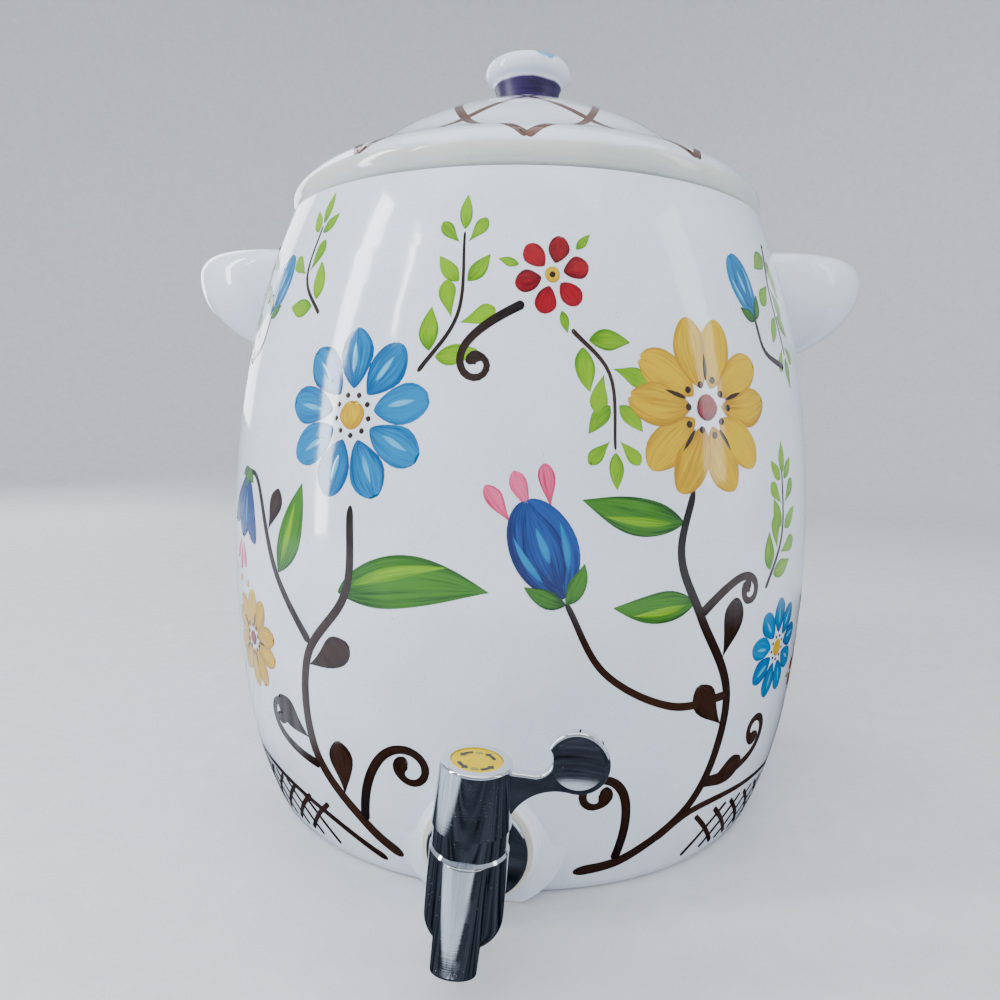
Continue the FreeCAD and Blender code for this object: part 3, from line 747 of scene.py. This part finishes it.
def heart_bloom(centre, reach, first=90):
    """Five heart-shaped petals, two strokes each, about a dark eye with a ring of dots."""
    for petal in range(5):
        heading = first + 72 * petal
        for side in (-1, 1):
            start = polar(centre, heading + side * 16, reach * 0.22)
            leaf("yellow", start, heading + side * 24, reach * 0.80, reach * 0.46, -side * 0.9 * 37 / reach,
                 petal_width, layer=1 + (side > 0))
        leaf("brown", polar(centre, heading, reach * 0.30), heading, reach * 0.30, reach * 0.05, layer=4)
    dot("crimson", centre, reach * 0.30, layer=3)
    for mark in range(10):
        dot("brown", polar(centre, first + 36 * mark + 18, reach * (0.26 + 0.06 * (mark % 2))), reach * 0.08, layer=4)


def dot_flower(centre, reach, first=90):
    """Six round crimson petals about a yellow eye, with lime leaves between."""
    for petal in range(6):
        heading = first + 60 * petal
        leaf("crimson", polar(centre, heading, reach * 0.26), heading, reach * 0.62, reach * 0.50, 0, petal_width)
        if petal % 2:
            leaf("lime", polar(centre, heading + 30, reach * 0.80), heading + 30, reach * 0.50, reach * 0.20)
    dot("yellow", centre, reach * 0.36)
    dot("brown", centre, reach * 0.14, layer=2)


def bellflower(place, heading, size):
    """A cobalt bell that hangs along its heading, with a pale frill, and pink stamens below it."""
    leaf("cobalt", place, heading, size * 0.80, size * 0.42, 0, petal_width)
    for side in (-1, 1):
        leaf("cobalt", place, heading + side * 13, size * 0.86, size * 0.30, side * 0.9, petal_width, layer=1)
        leaf("sky", polar(place, heading + side * 9, size * 0.22), heading + side * 6, size * 0.50, size * 0.07,
             side * 0.5, layer=2)
        leaf("pink", polar(place, heading + side * 5, size * 0.84), heading + side * 14, size * 0.30, size * 0.10,
             side * 0.8, drop_width)
    leaf("pink", polar(place, heading, size * 0.84), heading, size * 0.36, size * 0.10, 0, drop_width)
    for mark in (-1, 0, 1):
        dot("yellow", polar(place, heading + mark * 12, size * 1.30), size * 0.085)
        leaf("green", polar(place, heading + 180 + mark * 55, size * 0.02), heading + mark * 60, size * 0.24,
             size * 0.12, 0, leaf_width, layer=3)


def bud(place, heading, size, colour="sky", shine="ice", stamens=0):
    """Petals that close on one another in a green cup, with pink stamens if it begins to open."""
    for stamen in range(stamens):
        way = heading + 13 * (stamen - (stamens - 1) / 2)
        leaf("pink", polar(place, way, size * 0.84), way, size * 0.42, size * 0.16, 0, drop_width)
    for side in (-1, 1):
        leaf(colour, place, heading + side * 26, size, size * 0.40, -side * 1.3 * 40 / size, petal_width,
             layer=2 + (side > 0))
        leaf(shine, polar(place, heading + side * 30, size * 0.24), heading + side * 22, size * 0.5, size * 0.07,
             -side * 1.1 * 40 / size, layer=4)
    leaf(colour, polar(place, heading, size * 0.1), heading, size * 0.86, size * 0.36, 0, leaf_width, layer=4)
    leaf(shine, polar(place, heading, size * 0.35), heading, size * 0.36, size * 0.08, 0, layer=5)
    for side in (-1, 1):
        leaf("green", polar(place, heading + 180, size * 0.06), heading + side * 58, size * 0.42, size * 0.17,
             -side * 1.6 * 40 / size, layer=6)


def drops(curve, shares, length, width, spread=55, colour="brown"):
    """Teardrop leaves that leave a stem alternately to its two sides."""
    for number, share in enumerate(shares):
        place, heading = along(curve, share)
        side = 1 if number % 2 else -1
        foot = polar(place, heading + side * spread, 2)
        leaf(colour, foot, heading + side * spread, length, width, -side * 0.8, drop_width, layer=1)


# %% [markdown]
# ### The garland
# Places are millimetres round from the tap, to the right as one looks at the pot, and millimetres up. The big
# stems rise from both sides of the tap, cross the belly in slow curves and leave the middle white.

# %% The left side of the front
left_vine = through((-40, 14), (-58, 28), (-84, 60), (-84, 104), (-60, 138), (-58, 176))
stem(list(reversed(left_vine)), 6.2)
daisy((-60, 214), 37)
drops(left_vine, (0.20, 0.36, 0.56), 28, 14)
tendril((-82, 52), 172, 70, 5.0, -1)
tendril((-58, 30), 82, 92, 5.0, -1)
long_leaf((-64, 138), 22, 68, 23, -0.5)
long_leaf((-103, 141), 62, 46, 16, 0.3)
heart_bloom((-134, 102), 25, 70)
arch = through((-82, 112), (-106, 142), (-124, 180), (-138, 186))
stem(list(reversed(arch)), 4.4)
bellflower((-138, 186), 258, 44)
drops(arch, (0.58,), 22, 10)
sprig(through((-30, 232), (-14, 256), (-14, 290)), 4, 19, 9)
sprig(through((-88, 258), (-104, 276), (-102, 300)), 3, 19, 9)
print("strokes so far:", strokes_made)

# %% The right side of the front
right_vine = through((44, 12), (72, 18), (104, 44), (114, 90), (94, 130), (82, 158), (88, 186))
stem(list(reversed(right_vine)), 6.2)
heart_bloom((96, 220), 38)
drops(right_vine, (0.33, 0.47, 0.62), 28, 13)
tendril((107, 50), -4, 84, 5.2, 1)
tendril((64, 17), 80, 84, 5.0, 1)
tendril((94, 132), 40, 62, 4.6, -1)
long_leaf((83, 172), 174, 46, 16, -0.3)
long_leaf((90, 138), 188, 38, 14, -0.4)
bud((32, 142), 112, 44, "cobalt", "sky", 3)
stem(through((33, 140), (50, 110), (82, 92), (113, 92)), 4.2)
daisy((154, 106), 25)
sprig(through((136, 138), (150, 162), (150, 192)), 5, 19, 9)
dot_flower((26, 272), 19, 75)
sprig(through((34, 250), (50, 232), (52, 202)), 4, 19, 9)
tendril((14, 260), 205, 66, 4.0, 1)
print("strokes so far:", strokes_made)

# %% The shoulders and the base
for side in (-1, 1):
    sprig(through((side * 168, 300), (side * 160, 276), (side * 166, 246)), 4, 19, 9)
    bud((side * 136, 262), 90 + side * 24, 30)
    stem(through((side * 136, 261), (side * 142, 246), (side * 162, 240)), 3.2)


def lattice(first, last, low, high, pitch):
    """Crossed lines inside a band, both ways across it."""
    lean = high - low
    steps = int((last - first - lean) / pitch)
    for step in range(steps + 1):
        foot = first + step * pitch
        for start, end in ((foot, foot + lean), (foot + lean, foot)):
            middle = (foot + lean / 2, (low + high) / 2 + 1)
            stem(through((start, low), middle, (end, high)), 2.6, shape=even_width)


lattice(-190, -78, 7, 31, 14)
lattice(108, 192, 7, 31, 14)
stem(through((-196, 34), (-140, 35), (-90, 26), (-50, 9)), 4.4)
stem(through((196, 34), (150, 37), (106, 36), (84, 24)), 4.4)
print("strokes so far:", strokes_made)

# %% [markdown]
# The photograph doesn't show the back. Such pots are painted all round, with less on the far side, so the back
# has one looser spray of the same flowers.

# %% The sides and the back
BACK = math.pi * UNROLL_RADIUS
back_vine = through((BACK - 96, 40), (BACK - 60, 86), (BACK - 6, 104), (BACK + 20, 150), (BACK, 186))
stem(list(reversed(back_vine)), 4.4)
drops(back_vine, (0.2, 0.36, 0.52, 0.82), 24, 11)
daisy((BACK - 2, 222), 33)
tendril((BACK - 70, 74), 160, 80, 3.6, -1)
tendril((BACK + 8, 118), 20, 76, 3.6, 1)
long_leaf((BACK + 19, 160), 24, 54, 16, -0.7)
long_leaf((BACK - 20, 112), 165, 50, 15, 0.7)
heart_bloom((BACK + 74, 96), 27, 60)
dot_flower((BACK - 104, 138), 15)
sprig(through((BACK - 96, 156), (BACK - 84, 184), (BACK - 92, 214)), 5, 16, 7.5)
sprig(through((BACK + 70, 130), (BACK + 84, 160), (BACK + 76, 194)), 5, 16, 7.5)
for side in (-1, 1):
    foot = side * 232
    rise = through((foot, 24), (foot + side * 12, 70), (foot - side * 4, 120), (foot + side * 6, 160))
    stem(list(reversed(rise)), 4.0)
    drops(rise, (0.25, 0.45, 0.65), 23, 10)
    bellflower((foot + side * 6, 190), 90 - side * 8, 34)
    long_leaf(rise[20], 90 + side * 50, 46, 14, side * 0.6)
    tendril(rise[8], 90 - side * 50, 70, 3.4, -side)
    dot_flower((foot - side * 36, 84), 14)
print("strokes in all:", strokes_made)

# %% Turn the strokes into pieces
PAINT_DEPTH = 0.0004


def finish_paint(bm, name, material, body, depth=PAINT_DEPTH):
    """Merges the tips, gives the paint its thickness into the glaze, and keeps its rim crisp."""
    bmesh.ops.remove_doubles(bm, verts=bm.verts, dist=2e-6)
    bmesh.ops.dissolve_degenerate(bm, edges=bm.edges, dist=2e-6)
    for edge in bm.edges:
        edge.smooth = not edge.is_boundary
    painted = object_from(bm, name, material)
    thickness = painted.modifiers.new("depth", "SOLIDIFY")
    thickness.thickness = depth
    thickness.offset = -1
    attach(painted, body)


for colour, bm in wall_paint.items():
    finish_paint(bm, "wall_" + colour + "_strokes", paints[colour], "crock")


# %% [markdown]
# The lid has no flowers, only a lattice of thin lines: ten lines lean each way from the knob to the edge, so
# their crossings make rings of diamonds round the knob, the outer ones down to the rolled edge.

# %% Lattice on the lid
LID_LINES = 10
LATTICE_FROM, LATTICE_TO = 20.0, 130.4
LATTICE_TURN = math.radians(54)
LATTICE_FIRST = math.radians(-90 + 4.8 + 18)
LATTICE_WIDTH = 3.8
lid_lines = bmesh.new()
for number in range(LID_LINES):
    for lean in (-1, 1):
        line = []
        for step in range(41):
            reach = LATTICE_FROM + (LATTICE_TO - LATTICE_FROM) * step / 40
            turn = LATTICE_FIRST + math.tau * number / LID_LINES + lean * LATTICE_TURN * step / 40
            line.append(Vector((reach * math.cos(turn), reach * math.sin(turn))))
        brush(lid_lines, line, LATTICE_WIDTH, even_width, onto_lid, rows=72, columns=3, wobble=0.16)
finish_paint(lid_lines, "lid_russet_lattice", paints["russet"], "lid")

# %% [markdown]
# ## The tap
# The tap is brass, polished and chromed. Chrome has almost no colour of its own: what shows is the studio in
# it, fine scratches from cleaning that lie round the barrel, and slightly duller patches from water.

# %% Metal finishes


def make_wear_group():
    tree, given, result = new_group(
        "handled_metal", [("Smooth", "Float", 0.04), ("Dull", "Float", 0.2), ("Scratches", "Float", 0.05)],
        [("Roughness", "Float"), ("Normal", "Vector")])
    place = object_place(tree)
    marks = remap(tree, noise(tree, place, 130.0, 4.0), 0.45, 0.75, given["Smooth"], given["Dull"])
    dust = remap(tree, noise(tree, place, 1300.0, 2.0), 0.67, 0.76)
    feed(tree, result["Roughness"], calculate(tree, "MULTIPLY_ADD", dust, 0.22, marks, clamp=True))
    turned = noise(tree, place, 1.0, 2.0, (60, 60, 2600))
    feed(tree, result["Normal"], bump(tree, turned, given["Scratches"], 0.00005))
    return tree


wear_group = make_wear_group()


def make_metal(name, dark, light, smooth, dull, scratches):
    """Metal with a slightly uneven tint and the wear of handling."""
    material, tree, shader = new_material(name)
    wear = add_node(tree, "ShaderNodeGroup", node_tree=wear_group, Smooth=smooth, Dull=dull, Scratches=scratches)
    tint = ramp(tree, noise(tree, object_place(tree), 45.0, 3.0), [(0.3, dark), (0.7, light)])
    set_shader(tree, shader, Base_Color=tint, Roughness=wear.outputs["Roughness"], Normal=wear.outputs["Normal"],
               Metallic=1.0)
    return material


chrome = make_metal("chrome", (0.72, 0.74, 0.77), (0.80, 0.82, 0.84), 0.03, 0.16, 0.12)
brass = make_metal("brass", (0.60, 0.42, 0.16), (0.78, 0.58, 0.26), 0.16, 0.40, 0.4)
steel = make_metal("steel", (0.42, 0.43, 0.45), (0.55, 0.56, 0.58), 0.18, 0.40, 0.4)
print("metals:", chrome.name, brass.name, steel.name)

# %% Rubber and plastic finishes


def make_moulded(name, dark, light, roughness, grain, specular=0.5):
    """Moulded rubber or plastic: a fine grain and a slightly uneven colour."""
    material, tree, shader = new_material(name)
    place = object_place(tree)
    clouds = noise(tree, place, 160.0, 4.0)
    grains = bump(tree, noise(tree, place, 2400.0, 2.0), grain, 0.00004)
    set_shader(tree, shader, Base_Color=ramp(tree, clouds, [(0.3, dark), (0.7, light)]), Normal=grains,
               Roughness=remap(tree, clouds, 0.0, 1.0, roughness, roughness + 0.15, smooth=False),
               Specular_IOR_Level=specular)
    return material


cream_plastic = make_moulded("cream_plastic", (0.70, 0.66, 0.54), (0.78, 0.75, 0.64), 0.30, 0.3)
yellow_plastic = make_moulded("yellow_plastic", (0.62, 0.42, 0.0), (0.76, 0.54, 0.0), 0.42, 0.2, 0.2)
black_rubber = make_moulded("black_rubber", (0.012, 0.012, 0.013), (0.03, 0.03, 0.032), 0.5, 0.6)
FINISHES = {
    chrome: ("tap_body", "handle_cap"),
    brass: ("lock_nut", "plug_retaining_nut", "valve_plug"),
    steel: ("handle_screw",),
    cream_plastic: ("outer_washer",),
    black_rubber: ("inner_washer", "plug_o_ring_upper", "plug_o_ring_lower"),
    yellow_plastic: ("index_disc",),
}
for material, names in FINISHES.items():
    for name in names:
        dress(name, material)


# %% [markdown]
# The yellow disc is printed with four curved arrows that chase one another round its edge, which says that the
# lever turns, and two small olive bars. The print is modelled as thin flat marks on the disc.

# %% Print on the yellow disc
TAP_LEAN = math.radians(3.85)
SHANK_HEIGHT = 34.0
BARREL_Y = -200.0
DISC_FACE = 89.8
PRINT_RISE = 0.04
PRINT_DEPTH = 0.0001


def onto_disc(flat, lift):
    """A place on the disc's face, which leans with the tap."""
    x, y, z = flat.x, BARREL_Y + flat.y, DISC_FACE - SHANK_HEIGHT + PRINT_RISE
    across = x * math.cos(TAP_LEAN) + z * math.sin(TAP_LEAN)
    up = -x * math.sin(TAP_LEAN) + z * math.cos(TAP_LEAN)
    return Vector((across, y, SHANK_HEIGHT + up)) / 1000


def arrow_width(t):
    """A band that opens into an arrow head and closes to its point."""
    return 0.42 if t < 0.62 else max(0.0, (1 - t) / 0.38)


def make_disc_print():
    black, olive = bmesh.new(), bmesh.new()
    for quarter in range(4):
        first = 90 * quarter + 20
        arc = [polar((0, 0), first + 52 * step / 24, 6.7) for step in range(25)]
        brush(black, arc, 3.8, arrow_width, onto_disc, rows=26, columns=2, wobble=0)
    for side in (-1, 1):
        bar = walk((-1.6, side * 6.3), 0, (3.2, 0, 0))
        brush(olive, bar, 2.2, bean_width, onto_disc, rows=8, columns=2, wobble=0)
    return black, olive


def make_ink(name, dark, light):
    """Printed ink with a little wear."""
    material, tree, shader = new_material(name)
    worn = noise(tree, object_place(tree), 900.0, 3.0)
    set_shader(tree, shader, Base_Color=ramp(tree, worn, [(0.35, dark), (0.7, light)]), Roughness=0.35)
    return material


INKS = {
    "disc_arrows": make_ink("black_ink", (0.01, 0.01, 0.008), (0.035, 0.03, 0.02)),
    "disc_bars": make_ink("olive_ink", (0.20, 0.20, 0.02), (0.30, 0.28, 0.04)),
}
for bm, name in zip(make_disc_print(), INKS):
    finish_paint(bm, name, INKS[name], "tap_handle", PRINT_DEPTH)
